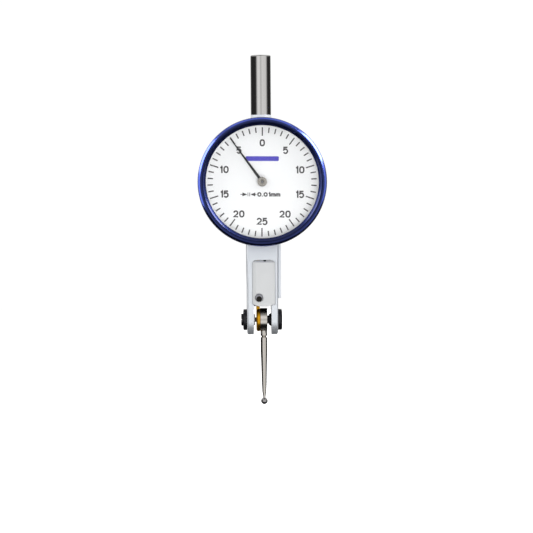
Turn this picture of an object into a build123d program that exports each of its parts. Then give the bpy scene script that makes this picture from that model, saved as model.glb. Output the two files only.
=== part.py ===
"""Lever-type dial indicator, in millimetres.

Frame: +Z runs up the body towards the clamping stem, -Y is the side the dial faces, and +X is to
the reader's right. The origin is on the stem's axis, at the shoulder where the stem meets the body.

From the top down: a ground stem, a slim body with a round movement case on its front, a turning
bezel that carries the crystal and the dial, and two arms that hold the stylus pivot. Inside, the
stylus swings a brass lever. The lever's pin drives a sector gear, the sector turns a pinion, and a
crown wheel on the same arbor turns the pointer.
"""

from build123d import *

import os
from math import acos, atan2, cos, degrees, pi, radians, sin, tan

# ---- overall sizes -----------------------------------------------------------------------------
STEM_R = 3.0
STEM_LENGTH = 17.7
BODY_WIDTH = 9.3
BODY_DEPTH = 8.8
DIAL_Z = -20.0
PIVOT_Z = -60.6
STYLUS_LENGTH = 24.07  # pivot axis to ball centre
BALL_R = 1.0
BEZEL_R = 19.0
WINDOW_R = 16.6  # the dial that shows inside the bezel

# ---- fits --------------------------------------------------------------------------------
SEAT = 0.01  # radial gap of a pressed or screwed joint between two separate pieces
RUN = 0.03  # radial gap of a running fit
FACE = 0.05  # axial gap between faces that slide on each other

# ---- body --------------------------------------------------------------------------------
HALF_W = BODY_WIDTH / 2
HALF_D = BODY_DEPTH / 2
BODY_TOP = -2.5
NECK_R = (3.3, 3.02)  # at its foot and at the shoulder
WALL = 0.9
CHANNEL_HALF = HALF_W - WALL
CHANNEL_FRONT = -3.4
CHANNEL_BACK = 3.6
CHANNEL_TOP = -14.0
NOSE_HALF = 4.56  # half the width below the taper, across the two arms
TAPER_Z = (-45.5, -51.0)  # where the sides draw in from the body to the nose
FORK_HALF = 2.62  # half the gap between the two arms
FORK_TOP = -56.6
SHOULDER_Z = -42.6  # sharper edges above, rounder edges below
UPPER_ROUND = 0.35
TOP_CHAMFER = 0.25
LOWER_ROUND = 0.55
SPIGOT_R = 2.0
SPIGOT_LENGTH = 6.0

# opening in the body's front that lets the gears reach into the movement case
OPENING_TOP = -14.6
OPENING_BOTTOM = -30.0

# dovetail rail on the right side
RAIL_HEIGHT = 0.85
RAIL_WIDTH = 6.0
RAIL_BOTTOM = -54.3
RAIL_TOP = -37.0
DOVETAIL_ANGLE = 60.0

# nose cover plate and its recess
COVER_LEFT = -3.05
COVER_RIGHT = 3.75
COVER_TOP = -43.0
COVER_BOTTOM = -56.0
COVER_BULGE = 0.8
COVER_RECESS = 1.0
COVER_THICKNESS = 0.75
COVER_BEVEL = 0.22  # depth of the wide bevels along the left and upper edges
COVER_BEVEL_LEFT, COVER_BEVEL_TOP = 1.0, 0.65
COVER_CORNER = 1.3
COVER_GAP = 0.05
NOTCH_R = 0.45
WEB_BACK = -1.6
COVER_SCREW_X = -1.04
COVER_SCREW_Z = -54.15
COVER_SCREW_HEAD_R = 1.22
COVER_WASHER_R = 1.42
RECESS_R, RECESS_DROP = 0.82, 0.36

# ---- movement case, bridge and bezel (Y positions grow towards the back) -----------------------
CASE_R = 16.9
CASE_WALL = 0.9
CASE_FLOOR = 1.0
CASE_FRONT = -8.2
FLOOR_Y = -HALF_D - CASE_FLOOR  # front face of the case floor
SCREW_R = 0.7
SCREW_HEAD_R = 1.2
SCREW_HEAD = 0.7

BEZEL_BACK = -5.7
BEZEL_FRONT = -13.0
BEZEL_SKIRT_R = CASE_R + 0.08
SEAT_R = 17.3  # bore of the bezel that takes crystal, spacer and dial
LIP_Y = -12.0
BEVEL = 0.85  # 45 degree bevel from the crystal up to the front
BEZEL_SHOULDER = 1.2
GROOVE_R = 17.6
CRYSTAL_BACK = -11.2
GASKET_BACK = -10.9
SPACER_BACK = -9.25
DIAL_FRONT = -9.2
DIAL_BACK = -8.75
SNAP_RING_Y = -8.5
SNAP_RING_R = 0.2
SPRING_RING_Y = -6.9
SPRING_RING_R = 0.28

# ---- gear train --------------------------------------------------------------------------------
PRESSURE = radians(20)
MODULE = 0.2  # sector and its pinion
CROWN_MODULE = 0.16
SECTOR_TEETH = 120  # if it were a whole wheel
PINION_TEETH = 12
CROWN_TEETH = 48
CENTRE_TEETH = 12
SECTOR_R = MODULE * SECTOR_TEETH / 2
PINION_R = MODULE * PINION_TEETH / 2
CROWN_R = CROWN_MODULE * CROWN_TEETH / 2
CENTRE_R = CROWN_MODULE * CENTRE_TEETH / 2
BACKLASH = 0.18  # thinning of each tooth, in modules

CROWN_Y = -2.26
SECTOR_Z = -33.0
SECTOR_LEFT, SECTOR_RIGHT = -3.3, -2.5
PINION_LEFT, PINION_RIGHT = -3.4, -2.4
CROWN_LEFT, CROWN_RIGHT = -2.0, -1.15
LEVER_RATIO = 7.5625  # lever arm over the sector's short arm
SHORT_ARM = (SECTOR_Z - PIVOT_Z) / (LEVER_RATIO + 1)  # sector pivot to lever pin
LEVER_ARM = LEVER_RATIO * SHORT_ARM  # lever pivot to lever pin
PIN_R = 0.35
PIN_PLAY = 0.025
ARBOR_R = 0.4
PIVOT_R = 0.22
JEWEL_R = 0.8
JEWEL_THICK = 0.45
BUSH_R = 1.3

CENTRE_PINION_Y = (-6.7, -5.5)
COCK_Y = (-5.1, -4.3)
BRIDGE_Y = (-8.1, -7.45)
PILLAR_X = 10.0
PILLAR_R = 1.6
HAIRSPRING_Y = -7.1
POINTER_Y = (-10.25, -10.1)
POINTER_HUB_Y = (-10.6, -9.65)
POINTER_LENGTH = 15.8
POINTER_HALF = (0.42, 0.13)  # half its width at the hub and at the tip
POINTER_ANGLE = 36.0  # rests five divisions to the left of zero
POINTER_HUB_R = 1.42
POINTER_EYE_R = 1.0
POINTER_COLLAR_R = 0.6

# ---- stylus pivot ------------------------------------------------------------------------------
AXLE_R = 0.7
AXLE_END = 3.2
LEVER_LEFT, LEVER_RIGHT = -1.8, -0.8
LEVER_DISC_R = 3.5
HUB_LEFT, HUB_RIGHT = -0.75, 1.4
HUB_R = 3.4
STYLUS_X = 0.38
CLUTCH_R = 1.75
CLUTCH_FLOOR = 0.45
BEARING_R = 1.7
HEAD_R = 3.1
LEFT_HEAD, BOSS, RIGHT_HEAD = 1.15, 0.6, 1.25  # how far heads and boss stand out
BOSS_R = 1.8
SLOT_HALF, SLOT_DEPTH, SLOT_TURN = 0.42, 0.3, 12.0
SPANNER_HOLE_R = 0.42
WASHER_R = 1.7


# ---- small helpers -----------------------------------------------------------------------------
def block(x, y, z):
    """A box from three (low, high) pairs."""
    size = (x[1] - x[0], y[1] - y[0], z[1] - z[0])
    return Pos((x[0] + x[1]) / 2, (y[0] + y[1]) / 2, (z[0] + z[1]) / 2) * Box(*size)


def rod_x(x, r, y=0.0, z=0.0):
    return Pos((x[0] + x[1]) / 2, y, z) * Rot(0, 90, 0) * Cylinder(r, x[1] - x[0])


def rod_y(y, r, x=0.0, z=0.0):
    return Pos(x, (y[0] + y[1]) / 2, z) * Rot(90, 0, 0) * Cylinder(r, y[1] - y[0])


def rod_z(z, r, x=0.0, y=0.0):
    return Pos(x, y, (z[0] + z[1]) / 2) * Cylinder(r, z[1] - z[0])


def cone_x(x, r, z=PIVOT_Z):
    """A truncated cone along X, with radius r[0] at x[0] and r[1] at x[1]."""
    return Pos((x[0] + x[1]) / 2, 0, z) * Rot(0, 90, 0) * Cone(r[0], r[1], x[1] - x[0])


def side_plane(x, y=0.0, z=0.0):
    """Sketch plane across X: its own x is the part's Y, its own y is the part's Z."""
    return Plane(origin=(x, y, z), x_dir=(0, 1, 0), z_dir=(1, 0, 0))


def front_plane(y, x=0.0, z=0.0):
    """Sketch plane facing the reader: its own x is the part's X, its own y is the part's Z."""
    return Plane(origin=(x, y, z), x_dir=(1, 0, 0), z_dir=(0, -1, 0))


def face(points):
    return make_face(Polyline(*points, close=True))


def turned_y(points):
    """A ring about the dial's axis from its (radius, y) section."""
    return Pos(0, 0, DIAL_Z) * revolve(face(points), Axis.Y)


def turned_z(points, x=0.0, z=0.0):
    """A shape turned about a vertical axis from its (radius, height) section."""
    return Pos(x, 0, z) * revolve(Plane.XZ * face(points), Axis.Z)


def ring_y(outer, inner, y):
    return turned_y([(inner, y[0]), (outer, y[0]), (outer, y[1]), (inner, y[1])])


def wire_ring(major, minor, y):
    return Pos(0, y, DIAL_Z) * Rot(90, 0, 0) * Torus(major, minor)


def slotted_screw_y(x, z, head_y, tip_y, head_r=SCREW_HEAD_R, shank_r=SCREW_R, head=SCREW_HEAD):
    """A cheese-head screw driven towards +Y, its head's underside at head_y."""
    body = rod_y((head_y - head, head_y), head_r, x, z) + rod_y((head_y, tip_y), shank_r, x, z)
    slot = block((x - head_r, x + head_r), (head_y - head, head_y - head * 0.55), (z - 0.18, z + 0.18))
    return body - slot


# ---- gears --------------------------------------------------------------------------------
def tooth_outline(pitch_r, module, addendum=0.8, dedendum=1.15, steps=5):
    """(radius, half angle) pairs of one involute tooth, from its root to its tip."""
    base_r = pitch_r * cos(PRESSURE)
    thickness = module * (pi / 2 - BACKLASH)

    def half_angle(r):
        a = acos(min(1.0, base_r / r))
        return thickness / (2 * pitch_r) + (tan(PRESSURE) - PRESSURE) - (tan(a) - a)

    root, tip = pitch_r - dedendum * module, pitch_r + addendum * module
    start = max(root, base_r)
    radii = [start + (tip - start) * i / steps for i in range(steps + 1)]
    outline = [(r, half_angle(r)) for r in radii]
    if root < base_r:
        outline.insert(0, (root, half_angle(base_r)))
    return outline


def toothed_points(pitch_r, module, count, turn, teeth=None):
    """Polygon of a whole wheel's teeth, or of a few, one of them centred on the angle turn in radians."""
    outline = tooth_outline(pitch_r, module)
    pitch = 2 * pi / count
    indexes = range(count) if teeth is None else range(-(teeth // 2), teeth // 2 + 1)
    points = []
    for i in indexes:
        centre = turn + i * pitch
        points += [(r * cos(centre - h), r * sin(centre - h)) for r, h in outline]
        points += [(r * cos(centre + h), r * sin(centre + h)) for r, h in reversed(outline)]
    return points


def crown_teeth(count, module, pitch_x):
    """The face teeth of the crown wheel, one of them pointing straight to the dial side."""
    foot, tip = 0.19, 0.12
    half = module * (pi / 2 - 2.2 * BACKLASH) / 2
    profile = face(
        [
            (-half - foot * tan(PRESSURE), -foot - 0.1),
            (half + foot * tan(PRESSURE), -foot - 0.1),
            (half - tip * tan(PRESSURE), tip),
            (-half + tip * tan(PRESSURE), tip),
        ]
    )
    inner, outer = CROWN_R - 0.22, CROWN_R + 0.28
    teeth = []
    for i in range(count):
        # sketch x runs along the rim, sketch y along +X, and the extrusion runs outwards
        plane = Plane(origin=(pitch_x, -inner, 0), x_dir=(0, 0, -1), z_dir=(0, -1, 0))
        tooth = extrude(plane * profile, outer - inner)
        teeth.append(Pos(0, CROWN_Y, DIAL_Z) * Rot(360 * i / count, 0, 0) * tooth)
    return teeth


# ---- body group --------------------------------------------------------------------------------
def frame():
    """Slim bar with a lever channel, a fork for the pivot, a neck for the stem and a dovetail rail."""
    upper = block((-HALF_W, HALF_W), (-HALF_D, HALF_D), (SHOULDER_Z, BODY_TOP))
    upper = fillet(upper.edges().filter_by(Axis.Z), UPPER_ROUND)
    upper = chamfer(upper.edges().group_by(Axis.Z)[-1], TOP_CHAMFER)
    side = [(HALF_W, SHOULDER_Z), (HALF_W, TAPER_Z[0]), (NOSE_HALF, TAPER_Z[1]), (NOSE_HALF, PIVOT_Z)]
    outline = side + [(-x, z) for x, z in reversed(side)]
    lower = extrude(front_plane(HALF_D) * face(outline), BODY_DEPTH)
    lower += rod_x((-NOSE_HALF, NOSE_HALF), HALF_D, z=PIVOT_Z)
    corners = [e for e in lower.edges().filter_by(GeomType.LINE) if abs(e.tangent_at(0.5).Z) > 0.9]
    lower = fillet(corners, LOWER_ROUND)
    bar = upper + lower + Pos(0, 0, BODY_TOP / 2) * Cone(NECK_R[0], NECK_R[1], -BODY_TOP)

    undercut = RAIL_HEIGHT / tan(radians(DOVETAIL_ANGLE))
    rail = face(
        [
            (HALF_W - 0.5, -RAIL_WIDTH / 2 + undercut),
            (HALF_W, -RAIL_WIDTH / 2 + undercut),
            (HALF_W + RAIL_HEIGHT, -RAIL_WIDTH / 2),
            (HALF_W + RAIL_HEIGHT, RAIL_WIDTH / 2),
            (HALF_W, RAIL_WIDTH / 2 - undercut),
            (HALF_W - 0.5, RAIL_WIDTH / 2 - undercut),
        ]
    )
    bar += extrude(Plane.XY.offset(RAIL_BOTTOM) * rail, RAIL_TOP - RAIL_BOTTOM)

    wide, narrow = (-CHANNEL_HALF, CHANNEL_HALF), (-FORK_HALF, FORK_HALF)
    depth = (CHANNEL_FRONT, CHANNEL_BACK)
    bar -= [
        block(wide, depth, (COVER_TOP + 1, CHANNEL_TOP)),
        block(narrow, depth, (FORK_TOP - 1, COVER_TOP + 2)),
        block(narrow, (-HALF_D - 1, HALF_D + 1), (PIVOT_Z - HALF_D - 1, FORK_TOP)),
        block(wide, (-HALF_D - 1, CHANNEL_FRONT), (OPENING_BOTTOM, OPENING_TOP)),
        block(narrow, (-HALF_D, CHANNEL_FRONT), (FORK_TOP - 1, COVER_TOP - 1.2)),
        cover_outline(-HALF_D + COVER_RECESS, COVER_RECESS, COVER_GAP),
    ]

    # cross web behind the cover plate, which takes the cover screw
    web = (COVER_SCREW_Z - 1.3, COVER_SCREW_Z + 1.3)
    bar += block(narrow, (-HALF_D + COVER_RECESS, WEB_BACK), web)
    holes = [
        rod_y((-HALF_D, WEB_BACK), SCREW_R + SEAT, COVER_SCREW_X, COVER_SCREW_Z),
        rod_z((-SPIGOT_LENGTH, 0), SPIGOT_R + SEAT),
        rod_x((-HALF_W - 1, HALF_W + 1), BEARING_R + SEAT, z=PIVOT_Z),
        rod_x((-HALF_W - 1, HALF_W + 1), BUSH_R + SEAT, y=0, z=SECTOR_Z),
        rod_x((-HALF_W - 1, HALF_W + 1), BUSH_R + SEAT, y=CROWN_Y, z=DIAL_Z),
    ]
    holes += [rod_y((-HALF_D, tip), SCREW_R + SEAT, x, z) for x, z, tip in case_screw_places()]
    return bar - holes


def cover_outline(y, thickness, gap=0.0):
    """The nose cover's plate, its front at y - thickness: rounded upper corners, bulging lower end."""
    left, right, top, bottom = COVER_LEFT - gap, COVER_RIGHT + gap, COVER_TOP + gap, COVER_BOTTOM - gap
    middle = (left + right) / 2
    outline = [
        Line((left, bottom), (left, top - COVER_CORNER * 0.6)),
        RadiusArc((left, top - COVER_CORNER * 0.6), (left + COVER_CORNER, top), COVER_CORNER * 1.3),
        Line((left + COVER_CORNER, top), (right - COVER_CORNER, top)),
        RadiusArc((right - COVER_CORNER, top), (right, top - COVER_CORNER * 0.6), COVER_CORNER * 1.3),
        Line((right, top - COVER_CORNER * 0.6), (right, bottom)),
        ThreePointArc((right, bottom), (middle, bottom - COVER_BULGE), (left, bottom)),
    ]
    return extrude(front_plane(y) * make_face(outline), thickness)


def case_screw_places():
    """(x, z, y of the tip) of the four screws that hold the case on the body."""
    rows = ((-6.9, -1.9), (-33.0, CHANNEL_FRONT - 0.05))
    return [(side * 2.6, z, tip) for side in (-1, 1) for z, tip in rows]


def nose_cover():
    """Front cover of the nose: two bevelled edges, a pry notch at the top and a hole for the screw."""
    back = -HALF_D + COVER_RECESS
    front = back - COVER_THICKNESS
    plate = cover_outline(back, COVER_THICKNESS, -COVER_GAP)
    left, top = COVER_LEFT + COVER_GAP, COVER_TOP - COVER_GAP
    side = face([(left, front), (left + COVER_BEVEL_LEFT, front), (left, front + COVER_BEVEL)])
    side_bevel = extrude(Plane.XY.offset(COVER_BOTTOM - 1) * side, top - COVER_BOTTOM + 1)
    edge = face([(front, top), (front, top - COVER_BEVEL_TOP), (front + COVER_BEVEL, top)])
    top_bevel = extrude(side_plane(COVER_LEFT) * edge, COVER_RIGHT - COVER_LEFT)
    notch = rod_y((-HALF_D, back), NOTCH_R, (COVER_LEFT + COVER_RIGHT) / 2 + 0.35, COVER_TOP)
    hole = rod_y((-HALF_D, back), SCREW_R + SEAT, COVER_SCREW_X, COVER_SCREW_Z)
    return plate - [side_bevel, top_bevel, notch, hole]


def cover_washer():
    """Flat seat ring under the cover screw's head."""
    front = -HALF_D + COVER_RECESS - COVER_THICKNESS
    y = (front - 0.12, front)
    disc = rod_y(y, COVER_WASHER_R, COVER_SCREW_X, COVER_SCREW_Z)
    return disc - rod_y(y, SCREW_R + SEAT, COVER_SCREW_X, COVER_SCREW_Z)


def cover_screw():
    """Domed screw whose round driver recess lies low in the head."""
    seat = -HALF_D + COVER_RECESS - COVER_THICKNESS - 0.12
    head = rod_y((seat - 0.55, seat), COVER_SCREW_HEAD_R, COVER_SCREW_X, COVER_SCREW_Z)
    head = chamfer(head.edges().sort_by(Axis.Y)[0], 0.2)
    recess = rod_y((seat - 0.6, seat - 0.2), RECESS_R, COVER_SCREW_X, COVER_SCREW_Z - RECESS_DROP)
    return head - recess + rod_y((seat, WEB_BACK - 0.1), SCREW_R, COVER_SCREW_X, COVER_SCREW_Z)


def stem():
    """Ground clamping stem with a screwed spigot."""
    shaft = rod_z((0, STEM_LENGTH), STEM_R)
    shaft = fillet(shaft.edges().sort_by(Axis.Z)[-1], 0.45)
    spigot = rod_z((-SPIGOT_LENGTH + 0.3, 0), SPIGOT_R)
    return shaft + chamfer(spigot.edges().sort_by(Axis.Z)[0], 0.4)


def dial_case():
    """Round cup on the body's front that holds the movement and guides the bezel."""
    inner = CASE_R - CASE_WALL
    cup = turned_y(
        [
            (0, -HALF_D),
            (CASE_R - 0.6, -HALF_D),
            (CASE_R, -HALF_D - 0.6),
            (CASE_R, CASE_FRONT),
            (inner, CASE_FRONT),
            (inner, FLOOR_Y),
            (0, FLOOR_Y),
        ]
    )
    cup -= block((-CHANNEL_HALF, CHANNEL_HALF), (FLOOR_Y, -HALF_D), (OPENING_BOTTOM, OPENING_TOP))
    cup -= wire_ring(CASE_R, SPRING_RING_R + 0.06, SPRING_RING_Y)
    cup -= [rod_y((FLOOR_Y, -HALF_D), SCREW_R + SEAT, x, z) for x, z, _ in case_screw_places()]
    cup -= [rod_y((FLOOR_Y, -HALF_D), SCREW_R + SEAT, x, DIAL_Z) for x in (-PILLAR_X, PILLAR_X, 6.6)]
    return cup


def case_screws():
    return [slotted_screw_y(x, z, FLOOR_Y, tip) for x, z, tip in case_screw_places()]


def movement_bridge():
    """Bar across the case that carries the front centre jewel."""
    reach, half = PILLAR_X + 1.9, 2.9
    waist = 2.0
    outline = face(
        [
            (-reach, -waist),
            (-half - 1, -waist),
            (-half, -half),
            (half, -half),
            (half + 1, -waist),
            (reach, -waist),
            (reach, waist),
            (half + 1, waist),
            (half, half),
            (-half, half),
            (-half - 1, waist),
            (-reach, waist),
        ]
    )
    plate = extrude(front_plane(BRIDGE_Y[1], z=DIAL_Z) * outline, BRIDGE_Y[1] - BRIDGE_Y[0])
    plate -= rod_y(BRIDGE_Y, JEWEL_R + SEAT, z=DIAL_Z)
    return plate - [rod_y(BRIDGE_Y, SCREW_R + SEAT, x, DIAL_Z) for x in (-PILLAR_X, PILLAR_X)]


def bridge_pillars():
    y = (BRIDGE_Y[1], FLOOR_Y)
    return [
        rod_y(y, PILLAR_R, x, DIAL_Z) - rod_y(y, SCREW_R + SEAT, x, DIAL_Z) for x in (-PILLAR_X, PILLAR_X)
    ]


def bridge_screws():
    tip = -HALF_D - 0.05
    return [
        slotted_screw_y(x, DIAL_Z, BRIDGE_Y[0], tip, head=0.4, head_r=1.3) for x in (-PILLAR_X, PILLAR_X)
    ]


def centre_cock():
    """Stepped bracket that carries the rear centre jewel beside the crown wheel."""
    z = (DIAL_Z - 1.6, DIAL_Z + 1.6)
    foot = block((1.7, 8.4), (FLOOR_Y - 0.7, FLOOR_Y), z)
    step = block((1.7, 2.7), (FLOOR_Y - 0.7, COCK_Y[1]), z)
    arm = block((-0.85, 2.7), COCK_Y, z)
    holes = [rod_y((-7, -4), SCREW_R + SEAT, 6.6, DIAL_Z), rod_y(COCK_Y, JEWEL_R + SEAT, z=DIAL_Z)]
    return foot + step + arm - holes


def cock_screw():
    return slotted_screw_y(6.6, DIAL_Z, FLOOR_Y - 0.7, -HALF_D - 0.05, head=0.5)


def bearing_bushes(y, z):
    """Slotted bushes in the two side walls that hold an arbor's jewels."""
    bushes = []
    for side in (-1, 1):
        inner, outer = side * CHANNEL_HALF, side * (HALF_W - 0.08)
        bush = rod_x(sorted((inner, outer)), BUSH_R, y, z)
        pocket = rod_x(sorted((inner, inner + side * JEWEL_THICK)), JEWEL_R + SEAT, y, z)
        slot = block(sorted((outer - side * 0.3, outer)), (y - BUSH_R, y + BUSH_R), (z - 0.2, z + 0.2))
        bushes.append(bush - pocket - slot)
    return bushes


def side_jewels(y, z):
    jewels = []
    for side in (-1, 1):
        inner = side * CHANNEL_HALF
        x = sorted((inner, inner + side * JEWEL_THICK))
        jewels.append(rod_x(x, JEWEL_R, y, z) - rod_x(x, PIVOT_R + RUN, y, z))
    return jewels


def centre_jewels():
    jewels = []
    for y in ((BRIDGE_Y[1] - JEWEL_THICK, BRIDGE_Y[1]), (COCK_Y[0], COCK_Y[0] + JEWEL_THICK)):
        jewels.append(rod_y(y, JEWEL_R, z=DIAL_Z) - rod_y(y, PIVOT_R + RUN, z=DIAL_Z))
    return jewels


def hairspring():
    """Flat spiral between the centre arbor's collet and the stud on the bridge."""
    inner, outer, turns, per_turn = 1.05, 4.3, 6, 16
    half, height = 0.05, 0.3
    count = turns * per_turn
    centre = [(inner + (outer - inner) * i / count, 2 * pi * i / per_turn) for i in range(count + 1)]
    outward = [((r + half) * Vector(cos(a), sin(a))) for r, a in centre]
    inward = [((r - half) * Vector(cos(a), sin(a))) for r, a in centre]
    outline = [
        Spline(*outward),
        Line(outward[-1], inward[-1]),
        Spline(*inward[::-1]),
        Line(inward[0], outward[0]),
    ]
    return extrude(front_plane(HAIRSPRING_Y + height / 2, z=DIAL_Z) * make_face(outline), height)


def hairspring_stud():
    return block((4.4, 5.1), (BRIDGE_Y[1], HAIRSPRING_Y + 0.25), (DIAL_Z - 0.4, DIAL_Z + 0.4))


# ---- bezel group -------------------------------------------------------------------------------
def bezel():
    """Turning ring: skirt over the case, rounded shoulder, fine groove, bevel down to the crystal."""
    bevel_out, flat_out = WINDOW_R + BEVEL, BEZEL_R - BEZEL_SHOULDER
    diagonal = BEZEL_SHOULDER * (1 - cos(pi / 4))
    outline = [
        Polyline(
            (BEZEL_SKIRT_R, BEZEL_BACK),
            (BEZEL_R - 0.3, BEZEL_BACK),
            (BEZEL_R, BEZEL_BACK - 0.3),
            (BEZEL_R, -7.0),
            (BEZEL_R - 0.25, -7.25),
            (BEZEL_R - 0.25, -7.55),
            (BEZEL_R, -7.8),
            (BEZEL_R, BEZEL_FRONT + BEZEL_SHOULDER),
        ),
        ThreePointArc(
            (BEZEL_R, BEZEL_FRONT + BEZEL_SHOULDER),
            (BEZEL_R - diagonal, BEZEL_FRONT + diagonal),
            (flat_out, BEZEL_FRONT),
        ),
        Polyline(
            (flat_out, BEZEL_FRONT),
            (GROOVE_R + 0.1, BEZEL_FRONT),
            (GROOVE_R, BEZEL_FRONT + 0.12),
            (GROOVE_R - 0.1, BEZEL_FRONT),
            (bevel_out, BEZEL_FRONT),
            (WINDOW_R, BEZEL_FRONT + BEVEL),
            (WINDOW_R, LIP_Y),
            (SEAT_R, LIP_Y),
            (SEAT_R, CASE_FRONT - 0.12),
            (BEZEL_SKIRT_R, CASE_FRONT - 0.12),
            (BEZEL_SKIRT_R, BEZEL_BACK),
        ),
    ]
    ring = Pos(0, 0, DIAL_Z) * revolve(make_face(outline), Axis.Y)
    ring -= wire_ring(CASE_R, SPRING_RING_R + 0.06, SPRING_RING_Y)
    return ring - wire_ring(SEAT_R, SNAP_RING_R + 0.02, SNAP_RING_Y)


def crystal():
    """Clear disc with a bevelled front edge."""
    r, front, bevel = SEAT_R - 0.02, LIP_Y + SEAT, 0.2
    section = [(0, CRYSTAL_BACK), (r, CRYSTAL_BACK), (r, front + bevel), (r - bevel, front), (0, front)]
    return turned_y(section)


def crystal_gasket():
    return ring_y(SEAT_R - 0.02, WINDOW_R + 0.15, (CRYSTAL_BACK + 0.01, GASKET_BACK))


def dial_spacer():
    return ring_y(SEAT_R - 0.02, WINDOW_R, (GASKET_BACK + 0.01, SPACER_BACK))


def dial_plate():
    return ring_y(SEAT_R - 0.02, 0.9, (DIAL_FRONT, DIAL_BACK))


def dial_snap_ring():
    """Split wire that holds the dial in the bezel."""
    ring = wire_ring(SEAT_R, SNAP_RING_R, SNAP_RING_Y)
    return ring - block((-1.2, 1.2), (SNAP_RING_Y - 1, SNAP_RING_Y + 1), (DIAL_Z, DIAL_Z + 20))


def bezel_spring_ring():
    """Split wire in the grooves of case and bezel, which holds the bezel and gives its drag."""
    ring = wire_ring(CASE_R, SPRING_RING_R, SPRING_RING_Y)
    return ring - block((-2, 2), (SPRING_RING_Y - 1, SPRING_RING_Y + 1), (DIAL_Z - 20, DIAL_Z))


# ---- lever and stylus --------------------------------------------------------------------------
def measuring_lever():
    """Brass lever: a disc on the pivot axle and a long arm up the channel."""
    disc = rod_x((LEVER_LEFT, LEVER_RIGHT), LEVER_DISC_R, z=PIVOT_Z)
    disc = chamfer(disc.edges().sort_by(Axis.X)[0], 0.35)
    pin_z = PIVOT_Z + LEVER_ARM
    knee, end = PIVOT_Z + 6, pin_z + 0.5
    arm = face([(-1.5, PIVOT_Z), (1.5, PIVOT_Z), (1.25, knee), (0.8, end), (-0.8, end), (-1.25, knee)])
    disc += extrude(side_plane(LEVER_LEFT) * arm, LEVER_RIGHT - LEVER_LEFT)
    disc -= rod_x((LEVER_LEFT, LEVER_RIGHT), AXLE_R + SEAT, z=PIVOT_Z)
    lightening = [rod_x((LEVER_LEFT, LEVER_RIGHT), 0.55, z=PIVOT_Z + h) for h in (9.0, 12.5, 16.0, 19.5)]
    return disc - [rod_x((LEVER_LEFT, LEVER_RIGHT), PIN_R + SEAT, z=pin_z), *lightening]


def lever_pin():
    return rod_x((SECTOR_LEFT + 0.05, LEVER_RIGHT - 0.05), PIN_R, z=PIVOT_Z + LEVER_ARM)


def pivot_axle():
    shaft = rod_x((-AXLE_END, AXLE_END), AXLE_R, z=PIVOT_Z)
    return chamfer(shaft.edges().filter_by(GeomType.CIRCLE), 0.2)


def bearing_screw_left():
    """Bearing screw: a round head with a slotted boss outside, and a shank in the arm."""
    seat = -NOSE_HALF
    outer, end = seat - LEFT_HEAD, seat - LEFT_HEAD - BOSS
    head = rod_x((outer, seat), HEAD_R, z=PIVOT_Z)
    head = fillet(head.edges().sort_by(Axis.X)[0], 0.35)
    boss = rod_x((end, outer), BOSS_R, z=PIVOT_Z)
    boss = chamfer(boss.edges().sort_by(Axis.X)[0], 0.15)
    shank = rod_x((seat, -FORK_HALF), BEARING_R, z=PIVOT_Z)
    slot = block((end, end + SLOT_DEPTH), (-2, 2), (-SLOT_HALF, SLOT_HALF))
    slot = Pos(0, 0, PIVOT_Z) * Rot(SLOT_TURN, 0, 0) * slot
    bore = rod_x((-AXLE_END - 0.2, -2), AXLE_R + RUN, z=PIVOT_Z)
    return head + boss + shank - [slot, bore]


def bearing_washer_left():
    """Plain steel washer against the inside of the left arm."""
    x = (-FORK_HALF, -FORK_HALF + 0.35)
    return rod_x(x, WASHER_R, z=PIVOT_Z) - rod_x(x, AXLE_R + RUN, z=PIVOT_Z)


def bearing_screw_right():
    """Bearing screw: a round head with two spanner holes outside, a shank, and a long cone inside."""
    outer = NOSE_HALF + RIGHT_HEAD
    head = rod_x((NOSE_HALF, outer), HEAD_R, z=PIVOT_Z)
    head = fillet(head.edges().sort_by(Axis.X)[-1], 0.4)
    shank = rod_x((FORK_HALF, NOSE_HALF), BEARING_R, z=PIVOT_Z)
    nose = cone_x((HUB_RIGHT + FACE, FORK_HALF), (1.15, 1.48))
    holes = [rod_x((outer - 0.8, outer), SPANNER_HOLE_R, z=PIVOT_Z + side * 1.9) for side in (-1, 1)]
    bore = rod_x((HUB_RIGHT, AXLE_END + 0.2), AXLE_R + RUN, z=PIVOT_Z)
    return head + shank + nose - [*holes, bore]


def bearing_washer_right():
    """Conical dust washer against the inside of the right arm."""
    x = (FORK_HALF - 0.75, FORK_HALF)
    washer = cone_x(x, (1.6, 2.0))
    return washer - rod_x(x, 1.5, z=PIVOT_Z)


def stylus_hub():
    """Drum that turns stiffly on the axle, with a screwed socket for the stylus."""
    drum = rod_x((HUB_LEFT, HUB_RIGHT), HUB_R, z=PIVOT_Z)
    drum = chamfer(drum.edges().filter_by(GeomType.CIRCLE), 0.12)
    drum -= rod_x((HUB_LEFT, HUB_RIGHT), AXLE_R + RUN, z=PIVOT_Z)
    drum -= rod_x((CLUTCH_FLOOR, HUB_RIGHT), CLUTCH_R, z=PIVOT_Z)
    drum -= block((HUB_LEFT, HUB_RIGHT), (-1.3, 1.3), (PIVOT_Z - HUB_R, PIVOT_Z - HUB_R + 0.1))
    return drum - rod_z((PIVOT_Z - HUB_R, PIVOT_Z - 2.0), 0.8 + SEAT, STYLUS_X)


def clutch_spring():
    """Dished washer that presses the hub against the lever."""
    cone = cone_x((CLUTCH_FLOOR + 0.02, CLUTCH_FLOOR + 0.37), (1.6, 1.25))
    hollow = cone_x((CLUTCH_FLOOR + 0.019, CLUTCH_FLOOR + 0.22), (1.42, 0.95))
    return cone - hollow - rod_x((0, 2), AXLE_R + SEAT, z=PIVOT_Z)


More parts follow.
